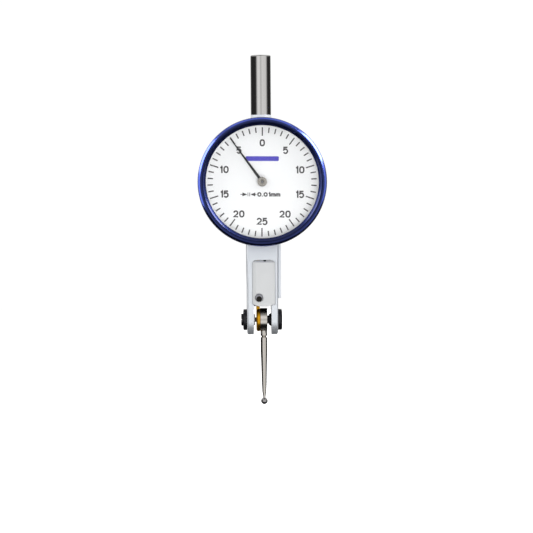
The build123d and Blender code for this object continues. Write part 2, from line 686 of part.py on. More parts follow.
def clutch_nut():
    """Round nut with two key slots, on the axle inside the hub."""
    x = (CLUTCH_FLOOR + 0.38, HUB_RIGHT - 0.12)
    nut = rod_x(x, 1.5, z=PIVOT_Z) - rod_x(x, AXLE_R + SEAT, z=PIVOT_Z)
    slots = [
        block((x[1] - 0.3, x[1]), sorted((side * 0.9, side * 1.5)), (PIVOT_Z - 0.2, PIVOT_Z + 0.2))
        for side in (-1, 1)
    ]
    return nut - slots


def stylus():
    """Turned contact point: screwed spigot, collar, wrench groove, then a long taper to the ball."""
    section = [  # (radius, distance below the pivot)
        (0.8, 2.05),
        (0.8, HUB_R - 0.09),
        (1.0, HUB_R - 0.09),
        (1.0, 4.7),
        (0.62, 5.0),
        (1.0, 5.35),
        (1.0, 9.2),
        (0.86, 13.2),
        (0.71, 19.1),
        (0.6, 21.3),
        (0.36, 22.9),
        (0.32, STYLUS_LENGTH - BALL_R + 0.4),
    ]
    points = [(0, -section[0][1])] + [(r, -d) for r, d in section] + [(0, -section[-1][1])]
    return turned_z(points, STYLUS_X, PIVOT_Z)


def stylus_ball():
    """Carbide ball with a socket for the stylus tip."""
    centre = PIVOT_Z - STYLUS_LENGTH
    ball = Pos(STYLUS_X, 0, centre) * Sphere(BALL_R)
    depth = BALL_R - 0.42
    return ball - rod_z((centre + depth, centre + BALL_R + 0.1), 0.345, STYLUS_X)


# ---- gear train --------------------------------------------------------------------------------
def towards_pinion():
    """Angle, in the side plane, from the sector's pivot to the pinion."""
    return atan2(DIAL_Z - SECTOR_Z, CROWN_Y)


def sector_gear():
    """Sector gear with its forked tail around the lever pin."""
    aim, teeth, root = towards_pinion(), 9, SECTOR_R - 1.15 * MODULE
    spread = (teeth / 2 + 0.3) * 2 * pi / SECTOR_TEETH
    rim_in = SECTOR_R - 1.5
    arc = [aim - spread + 2 * spread * i / 12 for i in range(13)]
    points = toothed_points(SECTOR_R, MODULE, SECTOR_TEETH, aim, teeth)
    first, last = arc[0], arc[-1]
    points = [(root * cos(first), root * sin(first))] + points + [(root * cos(last), root * sin(last))]
    points += [(rim_in * cos(a), rim_in * sin(a)) for a in reversed(arc)]
    thick = SECTOR_RIGHT - SECTOR_LEFT
    base = side_plane(SECTOR_LEFT, 0, SECTOR_Z)
    rim = extrude(base * face(points), thick)
    spokes = []
    for off in (-0.62, 0.62):
        reach = rim_in + 0.4
        spoke = Polygon((0, -0.45), (reach, -0.32), (reach, 0.32), (0, 0.45), align=None)
        spokes.append(extrude(base * Rot(0, 0, degrees(aim + off * spread)) * spoke, thick))
    hub = rod_x((SECTOR_LEFT, SECTOR_RIGHT), 1.7, z=SECTOR_Z)
    tail = block((SECTOR_LEFT, SECTOR_RIGHT), (-1.05, 1.05), (SECTOR_Z - SHORT_ARM - 0.75, SECTOR_Z))
    slot_half = PIN_R + PIN_PLAY
    pin_z = SECTOR_Z - SHORT_ARM
    slot = block((SECTOR_LEFT, SECTOR_RIGHT), (-slot_half, slot_half), (pin_z - 1, pin_z + 0.8))
    bore = rod_x((SECTOR_LEFT, SECTOR_RIGHT), ARBOR_R + SEAT, z=SECTOR_Z)
    return rim + [*spokes, hub, tail] - [slot, bore]


def side_arbor(y, z):
    """Arbor across the body, with a fine pivot at each end for the jewels."""
    shaft = rod_x((-CHANNEL_HALF + FACE, CHANNEL_HALF - FACE), ARBOR_R, y, z)
    tip = CHANNEL_HALF + JEWEL_THICK - 0.05
    return shaft + rod_x((-tip, tip), PIVOT_R, y, z)


def sector_arbor():
    return side_arbor(0, SECTOR_Z)


def crown_arbor():
    """Arbor with the pinion that the sector drives."""
    aim = towards_pinion() + pi  # from the pinion back to the sector
    points = toothed_points(PINION_R, MODULE, PINION_TEETH, aim + pi / PINION_TEETH)
    pinion = extrude(side_plane(PINION_LEFT, CROWN_Y, DIAL_Z) * face(points), PINION_RIGHT - PINION_LEFT)
    return side_arbor(CROWN_Y, DIAL_Z) + pinion


def crown_wheel():
    """Crown wheel: a spoked web, a rim and face teeth towards the centre pinion."""
    x = (CROWN_LEFT, CROWN_RIGHT)
    web = rod_x(x, CROWN_R + 0.28, CROWN_Y, DIAL_Z) - rod_x(x, ARBOR_R + SEAT, CROWN_Y, DIAL_Z)
    arms, reach = 5, 2.1
    windows = []
    for i in range(arms):
        a = 2 * pi * (i + 0.5) / arms
        windows.append(rod_x(x, 0.75, CROWN_Y + reach * cos(a), DIAL_Z + reach * sin(a)))
    web -= windows
    return web + crown_teeth(CROWN_TEETH, CROWN_MODULE, -CENTRE_R)


def centre_arbor():
    """Centre arbor with its pinion; the pointer sits on the front end."""
    # a gap between two teeth faces the crown wheel, towards -X
    points = toothed_points(CENTRE_R, CROWN_MODULE, CENTRE_TEETH, pi + pi / CENTRE_TEETH)
    length = CENTRE_PINION_Y[1] - CENTRE_PINION_Y[0]
    pinion = extrude(front_plane(CENTRE_PINION_Y[1], z=DIAL_Z) * face(points), length)
    shaft = rod_y((BRIDGE_Y[1] + FACE, COCK_Y[0] - FACE), ARBOR_R, z=DIAL_Z)
    pivot = rod_y((POINTER_HUB_Y[0] + 0.12, COCK_Y[0] + JEWEL_THICK - 0.05), PIVOT_R, z=DIAL_Z)
    return pinion + shaft + pivot


def hairspring_collet():
    y = (HAIRSPRING_Y - 0.2, HAIRSPRING_Y + 0.2)
    return rod_y(y, 0.95, z=DIAL_Z) - rod_y(y, ARBOR_R + SEAT, z=DIAL_Z)


def pointer():
    """Slim tapered pointer with a round eye under its hub."""
    half, tip = POINTER_HALF
    right = [(half, 0), (half, 1.2), (tip, POINTER_LENGTH)]
    blade = face(right + [(-x, y) for x, y in reversed(right)])
    shape = extrude(front_plane(POINTER_Y[1]) * blade, POINTER_Y[1] - POINTER_Y[0])
    shape += rod_y(POINTER_Y, POINTER_EYE_R)
    shape -= rod_y(POINTER_Y, POINTER_COLLAR_R + SEAT)
    return Pos(0, 0, DIAL_Z) * Rot(0, -POINTER_ANGLE, 0) * shape


def pointer_hub():
    """Turned boss on the arbor: a countersunk flange in front, a collar through the pointer behind."""
    back = POINTER_Y[0] - SEAT
    bore = PIVOT_R + SEAT
    section = [
        (bore, POINTER_HUB_Y[0] + 0.22),
        (0.75, POINTER_HUB_Y[0]),
        (POINTER_HUB_R - 0.3, POINTER_HUB_Y[0]),
        (POINTER_HUB_R, POINTER_HUB_Y[0] + 0.12),
        (POINTER_HUB_R, back),
        (bore, back),
    ]
    front = turned_y(section)
    return front + ring_y(POINTER_COLLAR_R, bore, (back, POINTER_HUB_Y[1]))


NODES = {
    "frame": frame,
    "stem": stem,
    "nose_cover": nose_cover,
    "cover_washer": cover_washer,
    "cover_screw": cover_screw,
    "dial_case": dial_case,
    "case_screws": case_screws,
    "movement_bridge": movement_bridge,
    "bridge_pillars": bridge_pillars,
    "bridge_screws": bridge_screws,
    "centre_cock": centre_cock,
    "cock_screw": cock_screw,
    "sector_bushes": lambda: bearing_bushes(0, SECTOR_Z),
    "crown_bushes": lambda: bearing_bushes(CROWN_Y, DIAL_Z),
    "sector_jewels": lambda: side_jewels(0, SECTOR_Z),
    "crown_jewels": lambda: side_jewels(CROWN_Y, DIAL_Z),
    "centre_jewels": centre_jewels,
    "hairspring": hairspring,
    "hairspring_stud": hairspring_stud,
    "bearing_screw_left": bearing_screw_left,
    "bearing_screw_right": bearing_screw_right,
    "bearing_washer_left": bearing_washer_left,
    "bearing_washer_right": bearing_washer_right,
    "bezel": bezel,
    "crystal": crystal,
    "crystal_gasket": crystal_gasket,
    "dial_spacer": dial_spacer,
    "dial_plate": dial_plate,
    "dial_snap_ring": dial_snap_ring,
    "bezel_spring_ring": bezel_spring_ring,
    "measuring_lever": measuring_lever,
    "lever_pin": lever_pin,
    "pivot_axle": pivot_axle,
    "clutch_spring": clutch_spring,
    "clutch_nut": clutch_nut,
    "stylus_hub": stylus_hub,
    "stylus": stylus,
    "stylus_ball": stylus_ball,
    "sector_gear": sector_gear,
    "sector_arbor": sector_arbor,
    "crown_arbor": crown_arbor,
    "crown_wheel": crown_wheel,
    "centre_arbor": centre_arbor,
    "hairspring_collet": hairspring_collet,
    "pointer": pointer,
    "pointer_hub": pointer_hub,
}


def main():
    os.makedirs("parts", exist_ok=True)
    for name, make in NODES.items():
        made = make()
        solids = made if isinstance(made, list) else [made]
        shape = Compound(children=[s for part in solids for s in part.solids()])
        export_step(shape, f"parts/{name}.step")
    gear_ratio = SECTOR_TEETH / PINION_TEETH * CROWN_TEETH / CENTRE_TEETH
    whole_ratio = gear_ratio * LEVER_ARM / SHORT_ARM
    travel = STYLUS_LENGTH * sin(radians(360 / whole_ratio / 2)) * 2
    print(f"lever to sector {LEVER_ARM / SHORT_ARM:.5f}, to the pointer {whole_ratio:.4f}")
    print(f"one turn of the pointer is {travel:.4f} mm at the ball")


main()
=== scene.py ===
"""Looks for the lever dial test indicator. Everything is in metres, in the CAD model's frame."""

import math

import bmesh
import bpy
from mathutils import Matrix, Vector


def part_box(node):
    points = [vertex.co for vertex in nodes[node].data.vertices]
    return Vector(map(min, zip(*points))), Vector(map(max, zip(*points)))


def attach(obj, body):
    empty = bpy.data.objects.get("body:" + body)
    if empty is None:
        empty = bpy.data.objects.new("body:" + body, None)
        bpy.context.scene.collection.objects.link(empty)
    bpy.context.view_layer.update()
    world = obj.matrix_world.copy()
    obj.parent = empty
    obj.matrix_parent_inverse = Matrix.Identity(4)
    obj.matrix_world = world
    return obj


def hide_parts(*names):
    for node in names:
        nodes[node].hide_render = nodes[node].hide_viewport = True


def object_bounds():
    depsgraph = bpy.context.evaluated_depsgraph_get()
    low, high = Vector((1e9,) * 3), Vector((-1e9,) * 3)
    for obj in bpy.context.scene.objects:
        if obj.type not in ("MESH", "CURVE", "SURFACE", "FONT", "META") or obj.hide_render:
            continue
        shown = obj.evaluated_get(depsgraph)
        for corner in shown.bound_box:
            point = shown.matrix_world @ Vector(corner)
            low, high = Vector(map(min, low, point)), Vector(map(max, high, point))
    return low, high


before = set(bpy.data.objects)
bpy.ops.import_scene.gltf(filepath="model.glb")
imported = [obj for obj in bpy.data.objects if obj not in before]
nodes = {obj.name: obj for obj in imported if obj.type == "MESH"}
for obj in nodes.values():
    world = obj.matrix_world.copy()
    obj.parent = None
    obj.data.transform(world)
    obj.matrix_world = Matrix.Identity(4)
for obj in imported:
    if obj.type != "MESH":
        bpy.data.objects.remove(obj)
cad_low, cad_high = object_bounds()
MM = 0.001
LEAN = 0.44  # degrees that the body leans in the picture
YAW = 1.35  # degrees that the camera stands to the left

# ---- places read from the frame ------------------------------------------------------------------
bezel_low, bezel_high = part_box("bezel")
DIAL_CENTRE = Vector(((bezel_low[0] + bezel_high[0]) / 2, 0, (bezel_low[2] + bezel_high[2]) / 2))
BEZEL_WALL, BEZEL_LIP, SKIRT_GAP = 1.72 * MM, 0.68 * MM, 0.08 * MM
BEZEL_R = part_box("dial_plate")[1][0] + BEZEL_WALL
BEZEL_FRONT, BEZEL_BACK = bezel_low[1], bezel_high[1]
CRYSTAL_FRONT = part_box("crystal")[0][1]
SEAT_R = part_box("crystal")[1][0]
SKIRT_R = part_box("dial_case")[1][0] + SKIRT_GAP
DIAL_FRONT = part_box("dial_plate")[0][1]
WINDOW_R = SEAT_R - BEZEL_LIP


# ---- node helpers --------------------------------------------------------------------------------
class Nodes:
    """Builds a node tree: each call adds a node and returns an output socket."""

    def __init__(self, tree):
        self.tree = tree
        tree.nodes.clear()

    def add(self, kind, inputs=None, **settings):
        node = self.tree.nodes.new(kind)
        for key, value in settings.items():
            setattr(node, key, value)
        for key, value in (inputs or {}).items():
            socket = node.inputs[key]
            if isinstance(value, bpy.types.NodeSocket):
                self.tree.links.new(value, socket)
            else:
                socket.default_value = value
        return node

    def math(self, operation, a, b=0.0):
        return self.add("ShaderNodeMath", {0: a, 1: b}, operation=operation).outputs[0]

    def product(self, first, *others):
        """The factors multiplied together."""
        for factor in others:
            first = self.math("MULTIPLY", first, factor)
        return first

    def fade(self, level, mask):
        """level where mask is 0, falling to 0 where it is 1."""
        return self.math("MULTIPLY", level, self.span(mask, 0.0, 1.0, 1.0, 0.0))

    def step(self, value, low, high):
        """0 below low, 1 above high, smooth between."""
        node = self.add("ShaderNodeMapRange", {"Value": value, "From Min": low, "From Max": high})
        node.interpolation_type = "SMOOTHSTEP"
        return node.outputs[0]

    def band(self, value, rise, fall):
        """1 between two soft edges, each given by its start and end."""
        return self.math("SUBTRACT", self.step(value, *rise), self.step(value, *fall))

    def span(self, value, low, high, to_low, to_high):
        inputs = {"Value": value, "From Min": low, "From Max": high, "To Min": to_low, "To Max": to_high}
        return self.add("ShaderNodeMapRange", inputs).outputs[0]

    def mix(self, factor, a, b):
        node = self.add("ShaderNodeMix", data_type="RGBA")
        for key, value in ((0, factor), (6, a), (7, b)):
            if isinstance(value, bpy.types.NodeSocket):
                self.tree.links.new(value, node.inputs[key])
            else:
                node.inputs[key].default_value = value
        return node.outputs[2]

    def place(self, centre=(0, 0, 0)):
        """Object coordinates, moved so that centre is the origin."""
        inputs = {0: self.add("ShaderNodeTexCoord").outputs["Object"], 1: tuple(centre)}
        return self.add("ShaderNodeVectorMath", inputs, operation="SUBTRACT").outputs[0]

    def noise(self, vector, scale, detail=2.0, rough=0.5):
        inputs = {"Vector": vector, "Scale": scale, "Detail": detail, "Roughness": rough}
        return self.add("ShaderNodeTexNoise", inputs).outputs[0]

    def radial(self, axis, centre=(0, 0, 0)):
        """(distance from an axis through centre, distance along it) in metres."""
        split = self.add("ShaderNodeSeparateXYZ", {0: self.place(centre)}).outputs
        across = [split[i] for i in range(3) if i != axis]
        joined = self.add("ShaderNodeCombineXYZ", {0: across[0], 1: across[1]}).outputs[0]
        length = self.add("ShaderNodeVectorMath", {0: joined}, operation="LENGTH").outputs["Value"]
        return length, split[axis]

    def turning_rings(self, radius, along, cloud, pitch):
        """Noise that varies along a (radius, along) section only, wandering a little with the cloud."""
        wander = self.math("MULTIPLY", cloud, 0.02 * MM)
        section = self.add("ShaderNodeCombineXYZ", {0: radius, 1: along, 2: wander}).outputs[0]
        return self.noise(section, 1 / pitch, 3.0, 0.65)

    def bump(self, height, distance):
        inputs = {"Height": height, "Distance": distance, "Strength": 1.0}
        return self.add("ShaderNodeBump", inputs).outputs[0]


def material(name):
    made = bpy.data.materials.new(name)
    made.use_nodes = True
    return made, Nodes(made.node_tree)


def finish_material(tree, base, rough, normal=None, **settings):
    """Adds the Principled shader. base and rough may be values or sockets; settings are other inputs."""
    inputs = {"Base Color": base, "Roughness": rough}
    if normal is not None:
        inputs["Normal"] = normal
    inputs.update(settings)
    shader = tree.add("ShaderNodeBsdfPrincipled", inputs)
    tree.add("ShaderNodeOutputMaterial", {"Surface": shader.outputs[0]})


def rgba(r, g, b):
    return (r, g, b, 1.0)


def shades(color, tint):
    """A darker and a lighter shade of a colour."""
    darker = tuple(c * (1 - tint) for c in color) + (1.0,)
    return darker, tuple(min(1.0, c * (1 + tint)) for c in color) + (1.0,)


# ---- metals --------------------------------------------------------------------------------------
GRAIN, GRAIN_DEPTH = 0.05 * MM, 0.0012 * MM


def satin_metal(name, color, rough, metallic=1.0):
    """Blasted or tumbled metal: a fine even grain, slightly cloudy in colour and gloss."""
    made, t = material(name)
    where = t.place()
    cloud = t.noise(where, 1 / (4.0 * MM), 3.0)
    fine = t.noise(where, 1 / GRAIN, 3.0, 0.6)
    base = t.mix(cloud, *shades(color, 0.04))
    roughness = t.span(cloud, 0.3, 0.7, rough * 0.9, rough * 1.1)
    finish_material(t, base, roughness, t.bump(fine, GRAIN_DEPTH), Metallic=metallic)
    return made


def ring_brushed(tree, axis, amount):
    """Shader inputs that spread reflections across fine rings about an axis."""
    tangent = tree.add("ShaderNodeTangent", direction_type="RADIAL", axis=axis).outputs[0]
    return {"Anisotropic": amount, "Anisotropic Rotation": 0.25, "Tangent": tangent}


def turned_metal(name, color, rough, axis, centre=(0, 0, 0), depth=0.0015 * MM, metallic=1.0, painted_shade_middle=None):
    """Turned or ground metal with fine rings about an axis.

    A dark middle, painted as shade, is given by the radii where it starts and stops fading out.
    """
    made, t = material(name)
    radius, along = t.radial(axis, centre)
    cloud = t.noise(t.place(), 1 / (3.0 * MM), 2.0)
    lines = t.turning_rings(radius, along, cloud, 0.06 * MM)
    base = t.mix(lines, *shades(color, 0.06))
    roughness = t.span(lines, 0.25, 0.75, rough * 0.8, rough * 1.2)
    # painted shade: the middle of the face is painted dark
    if painted_shade_middle:
        base = t.mix(t.step(radius, *painted_shade_middle), rgba(0.09, 0.08, 0.07), base)
    finish_material(t, base, roughness, t.bump(lines, depth), Metallic=metallic)
    return made


RAIL_WIDTH = 0.85 * MM
NECK_FOOT = -2.5 * MM
# where the channel's painted shade lies
CHANNEL_HALF_WIDTH, CHANNEL_HALF_DEPTH = 2.60 * MM, 3.5 * MM
CHANNEL_MIDDLE, CHANNEL_TOP = 0.15 * MM, -14 * MM
FRONT_CORNER = -1.0 * MM


def body_chrome(name):
    """Satin chrome outside. The rail's edge and the left front corner are painted light: a lighter, less
    metallic copy of the chrome where shade falls. The neck takes the same finish.

    The channel inside is painted near black as painted shade.
    """
    made, t = material(name)
    where = t.place()
    cloud = t.noise(where, 1 / (4.0 * MM), 3.0)
    fine = t.noise(where, 1 / GRAIN, 3.0, 0.6)
    satin = t.mix(cloud, rgba(0.615, 0.645, 0.68), rgba(0.655, 0.685, 0.725))
    x, y, z = t.add("ShaderNodeSeparateXYZ", {0: where}).outputs[:3]
    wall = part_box("frame")[1][0] - RAIL_WIDTH
    rail = t.band(x, (wall + 0.15 * MM, wall + 0.30 * MM), (wall + 0.80 * MM, wall + 0.84 * MM))
    left = t.math("MULTIPLY", x, -1.0)
    corner = t.band(left, (wall - 0.34 * MM, wall - 0.16 * MM), (wall - 0.05 * MM, wall - 0.01 * MM))
    corner = t.product(corner, t.math("LESS_THAN", y, FRONT_CORNER), 0.7)
    neck = t.step(z, NECK_FOOT, NECK_FOOT + 0.1 * MM)
    # painted light: lighter, less metallic chrome on the rail's edge and left front corner, standing in for
    # light that does not reach them; the neck shares it
    flat_and_painted_light = t.math("MAXIMUM", t.math("MAXIMUM", rail, corner), neck)
    base = t.mix(flat_and_painted_light, satin, rgba(0.78, 0.80, 0.83))
    # painted shade: the channel's inside is painted near black where shade falls
    across = t.math("LESS_THAN", t.math("ABSOLUTE", x), CHANNEL_HALF_WIDTH)
    off_middle = t.math("ABSOLUTE", t.math("SUBTRACT", y, CHANNEL_MIDDLE))
    deep_shade = t.math("LESS_THAN", off_middle, CHANNEL_HALF_DEPTH)
    inside = t.product(across, deep_shade, t.math("LESS_THAN", z, CHANNEL_TOP))
    base = t.mix(inside, base, rgba(0.05, 0.05, 0.055))
    metallic = t.span(flat_and_painted_light, 0.0, 1.0, 0.75, 0.2)
    rough = t.span(cloud, 0.3, 0.7, 0.36, 0.44)
    finish_material(t, base, rough, t.bump(fine, GRAIN_DEPTH), Metallic=metallic)
    return made


def black_oxide(name):
    """Black oxide on steel, worn to bare metal along the edges."""
    made, t = material(name)
    where = t.place()
    edge = t.add("ShaderNodeNewGeometry").outputs["Pointiness"]
    patch = t.noise(where, 1 / (0.5 * MM), 4.0, 0.6)
    worn = t.product(t.step(edge, 0.56, 0.66), t.step(patch, 0.45, 0.65), 0.35)
    base = t.mix(worn, rgba(0.013, 0.013, 0.016), rgba(0.30, 0.29, 0.28))
    rough = t.span(patch, 0.3, 0.7, 0.24, 0.38)
    normal = t.bump(t.noise(where, 1 / GRAIN, 2.0), 0.0015 * MM)
    finish_material(t, base, rough, normal, Metallic=0.55, **{"Specular IOR Level": 0.5})
    return made


def recessed_screw(name):
    """Steel screw head with painted shade: a near black disc, set a little low, is painted in its driver
    recess.
    """
    made, t = material(name)
    low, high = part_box("cover_screw")
    drop, recess_r = 0.36 * MM, 0.82 * MM
    centre = ((low[0] + high[0]) / 2, 0, (low[2] + high[2]) / 2 - drop)
    away = t.radial(1, centre)[0]
    cloud = t.noise(t.place(), 1 / (0.4 * MM), 3.0)
    steel = t.mix(cloud, rgba(0.20, 0.20, 0.22), rgba(0.27, 0.27, 0.29))
    # painted shade: near black inside the recess, its middle dropped below the head's middle
    outside = t.step(away, recess_r - 0.02 * MM, recess_r + 0.05 * MM)
    base = t.mix(outside, rgba(0.012, 0.011, 0.010), steel)
    finish_material(t, base, t.span(cloud, 0.3, 0.7, 0.30, 0.38), Metallic=0.8)
    return made


def anodised_blue(name):
    """Blue anodised aluminium with fine turning rings. Its front and inner bevel are painted almost black as
    painted shade.
    """
    made, t = material(name)
    radius, along = t.radial(1, DIAL_CENTRE)
    cloud = t.noise(t.place(), 1 / (5.0 * MM), 3.0)
    lines = t.turning_rings(radius, along, cloud, 0.08 * MM)
    # painted shade: a near black copy of the blue for the front and inner bevel
    deep_shade = t.mix(lines, rgba(0.006, 0.010, 0.055), rgba(0.010, 0.018, 0.086))
    bright = t.mix(lines, rgba(0.050, 0.078, 0.37), rgba(0.062, 0.096, 0.44))
    base = t.mix(t.step(radius, BEZEL_R - 0.95 * MM, BEZEL_R - 0.5 * MM), deep_shade, bright)
    inner_rough = t.span(radius, BEZEL_R - 1.1 * MM, BEZEL_R - 0.7 * MM, 0.20, 0.0)
    rough = t.math("ADD", t.span(lines, 0.25, 0.75, 0.15, 0.22), inner_rough)
    finish = {"Coat Weight": 0.33, "Coat Roughness": 0.14, "Coat IOR": 1.5, **ring_brushed(t, "Y", 0.3)}
    finish_material(t, base, rough, t.bump(lines, 0.0012 * MM), Metallic=1.0, **finish)
    return made


def clear_crystal(name):
    """Clear crystal: sees straight through, and its outer faces mirror a little."""
    made, t = material(name)
    clear = t.add("ShaderNodeBsdfTransparent", {"Color": rgba(0.985, 0.99, 0.99)})
    gloss = t.add("ShaderNodeBsdfGlossy", {"Color": rgba(1, 1, 1), "Roughness": 0.03})
    outer = t.math("SUBTRACT", 1.0, t.add("ShaderNodeNewGeometry").outputs["Backfacing"])
    share = t.math("MULTIPLY", t.add("ShaderNodeFresnel", {"IOR": 1.49}).outputs[0], outer)
    mixed = t.add("ShaderNodeMixShader", {0: share, 1: clear.outputs[0], 2: gloss.outputs[0]})
    t.add("ShaderNodeOutputMaterial", {"Surface": mixed.outputs[0]})
    return made


def dial_paint(name):
    """Matt white ground of the dial, with a very faint grain."""
    made, t = material(name)
    where = t.place()
    cloud = t.noise(where, 1 / (2.5 * MM), 3.0)
    base = t.mix(cloud, rgba(0.735, 0.730, 0.735), rgba(0.751, 0.745, 0.750))
    normal = t.bump(t.noise(where, 1 / (0.06 * MM), 2.0), 0.001 * MM)
    finish_material(t, base, t.span(cloud, 0.3, 0.7, 0.55, 0.65), normal)
    return made


def ink(name, color):
    """Printed ink, slightly uneven in density."""
    made, t = material(name)
    patch = t.noise(t.place(), 1 / (0.15 * MM), 3.0)
    base = t.mix(patch, tuple(c * 0.8 for c in color) + (1.0,), tuple(c * 1.25 for c in color) + (1.0,))
    finish_material(t, base, 0.5)
    return made


def black_lacquer(name):
    """Thin black lacquer with hardly any shine."""
    made, t = material(name)
    patch = t.noise(t.place(), 1 / (0.4 * MM), 3.0)
    base = t.mix(patch, rgba(0.0102, 0.0102, 0.01105), rgba(0.0144, 0.0144, 0.0156))
    roughness = t.span(patch, 0.3, 0.7, 0.27, 0.345)
    finish_material(t, base, roughness, **{"Specular IOR Level": 0.15})
    return made


def jewel(name):
    """Synthetic ruby."""
    made, t = material(name)
    cloud = t.noise(t.place(), 1 / (0.5 * MM), 2.0)
    base = t.mix(cloud, rgba(0.50, 0.012, 0.06), rgba(0.62, 0.02, 0.09))
    coat = {"Coat Weight": 0.6, "Coat Roughness": 0.03}
    finish_material(t, base, 0.08, **coat, **{"Subsurface Weight": 0.1, "Subsurface Scale": 0.4 * MM})
    return made


def rubber(name):
    """Matt black rubber."""
    made, t = material(name)
    fine = t.noise(t.place(), 1 / (0.08 * MM), 3.0)
    base = t.mix(fine, rgba(0.012, 0.012, 0.012), rgba(0.025, 0.025, 0.025))
    finish_material(t, base, 0.65, t.bump(fine, 0.002 * MM))
    return made


def centre_of(node):
    """The middle of a CAD node's box."""
    low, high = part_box(node)
    return tuple((Vector(low) + Vector(high)) / 2)


PIVOT = centre_of("pivot_axle")
STYLUS_AXIS = centre_of("stylus")
# radii of the painted shade in the middle of the pointer's hub
HUB_PAINTED_SHADE = (0.05 * MM, 0.75 * MM)
materials = {
    "frame": body_chrome("satin_chrome"),
    "stem": turned_metal("ground_stem", (0.56, 0.55, 0.54), 0.13, 2, depth=0.0001 * MM),
    "nose_cover": satin_metal("cover_plate", (0.575, 0.585, 0.59), 0.42, metallic=0.7),
    "cover_washer": satin_metal("cover_washer", (0.56, 0.57, 0.575), 0.42, metallic=0.7),
    "cover_screw": recessed_screw("cover_screw"),
    "dial_case": turned_metal("case_steel", (0.72, 0.73, 0.75), 0.36, 1, DIAL_CENTRE, metallic=0.7),
    "bearing_screw_left": black_oxide("bearing_screw_left"),
    "bearing_screw_right": black_oxide("bearing_screw_right"),
    "bearing_washer_left": satin_metal("bearing_washer_left", (0.30, 0.29, 0.31), 0.3),
    "bearing_washer_right": black_oxide("bearing_washer_right"),
    "pivot_axle": black_oxide("pivot_axle"),
    "measuring_lever": satin_metal("lever_brass", (0.68, 0.34, 0.016), 0.28),
    "stylus_hub": turned_metal("hub_steel", (0.60, 0.57, 0.53), 0.14, 0, PIVOT, depth=0.0005 * MM),
    "stylus": turned_metal("stylus_steel", (0.56, 0.53, 0.49), 0.18, 2, STYLUS_AXIS, depth=0.0005 * MM),
    "stylus_ball": satin_metal("carbide", (0.34, 0.33, 0.33), 0.10),
    "pointer": black_lacquer("pointer_black"),
    "pointer_hub": turned_metal("pointer_hub", (0.44, 0.41, 0.37), 0.28, 1, DIAL_CENTRE, painted_shade_middle=HUB_PAINTED_SHADE),
    "dial_plate": dial_paint("dial_white"),
    "crystal": clear_crystal("crystal_clear"),
    "crystal_gasket": rubber("gasket_black"),
}
shared = {
    satin_metal("movement_plate", (0.72, 0.58, 0.32), 0.32): (
        "movement_bridge", "bridge_pillars", "centre_cock", "hairspring_stud",
    ),
    satin_metal("gear_brass", (0.80, 0.62, 0.28), 0.25): (
        "sector_gear", "crown_wheel", "sector_bushes", "crown_bushes", "hairspring_collet",
    ),
    satin_metal("spring_steel", (0.42, 0.43, 0.46), 0.22): (
        "hairspring", "dial_snap_ring", "bezel_spring_ring", "lever_pin", "clutch_spring", "sector_arbor",
        "crown_arbor", "centre_arbor",
    ),
    satin_metal("small_screws", (0.56, 0.56, 0.57), 0.20): (
        "case_screws", "bridge_screws", "cock_screw", "clutch_nut",
    ),
    satin_metal("spacer_steel", (0.80, 0.80, 0.82), 0.35): ("dial_spacer",),
    jewel("jewel_red"): ("sector_jewels", "crown_jewels", "centre_jewels"),
}
for made, names in shared.items():
    materials.update({name: made for name in names})
for name, obj in nodes.items():
    for slot in obj.material_slots:
        slot.material = materials.get(name, slot.material)


# ---- mesh helpers --------------------------------------------------------------------------------
def new_object(name, mesh, made, body, smooth_angle=None):
    obj = bpy.data.objects.new(name, mesh)
    bpy.context.scene.collection.objects.link(obj)
    mesh.materials.clear()
    mesh.materials.append(made)
    if smooth_angle is not None:
        mesh.polygons.foreach_set("use_smooth", [True] * len(mesh.polygons))
        mesh.set_sharp_from_angle(angle=math.radians(smooth_angle))
    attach(obj, body)
    return obj


def to_mesh(bm, name):
    bmesh.ops.recalc_face_normals(bm, faces=bm.faces)
    mesh = bpy.data.meshes.new(name)
    bm.to_mesh(mesh)
    bm.free()
    return mesh


def ellipse(cx, cz, rx, rz, start, end, count):
    """Points of an elliptic arc, angles in degrees."""
    angles = [math.radians(start + (end - start) * i / count) for i in range(count + 1)]
    return [(cx + rx * math.cos(a), cz + rz * math.sin(a)) for a in angles]


def arc(centre, radius, start, end, count):
    """Points of a round arc, angles in degrees."""
    return ellipse(*centre, radius, radius, start, end, count)


# ---- bezel ---------------------------------------------------------------------------------------
KNURL_TEETH, KNURL_DEPTH = 150, 0.16 * MM
LIP_BEVEL = ((0, 0.87 * MM), (0.03 * MM, 0.82 * MM), (0.79 * MM, 0.06 * MM), (0.86 * MM, 0.01 * MM))
FINE_GROOVE_R = 17.6 * MM
FINE_GROOVE = ((-0.09 * MM, 0), (0, 0.13 * MM), (0.09 * MM, 0))
SHOULDER = 1.2 * MM
CREST_DROP = 0.01 * MM  # keeps the coin edge just inside the CAD bezel
RIM_BACK, RIM_CHAMFER = BEZEL_FRONT + 1.45 * MM, 0.1 * MM
GRIP_FRONT, GRIP_BACK, GRIP_STEP = BEZEL_FRONT + 1.65 * MM, -7.95 * MM, 0.12 * MM
REAR_GROOVE, REAR_GROOVE_DEPTH = (-7.55 * MM, -7.25 * MM), 0.25 * MM
REAR_RIM, REAR_CHAMFER = -7.0 * MM, 0.3 * MM
INNER_STEP, SEAT_GAP = -8.32 * MM, 0.02 * MM


def knurl_cut(turn):
    """How far one place on the coin edge lies below its crest: rounded crests and sharp valleys."""
    phase = (turn * KNURL_TEETH / (2 * math.pi)) % 1.0
    return KNURL_DEPTH * abs(2 * phase - 1) ** 1.6


def section_points(places, knurled=0):
    """(radius, y, knurled) points of the bezel's section from (radius, y) places."""
    return [(r, y, knurled) for r, y in places]


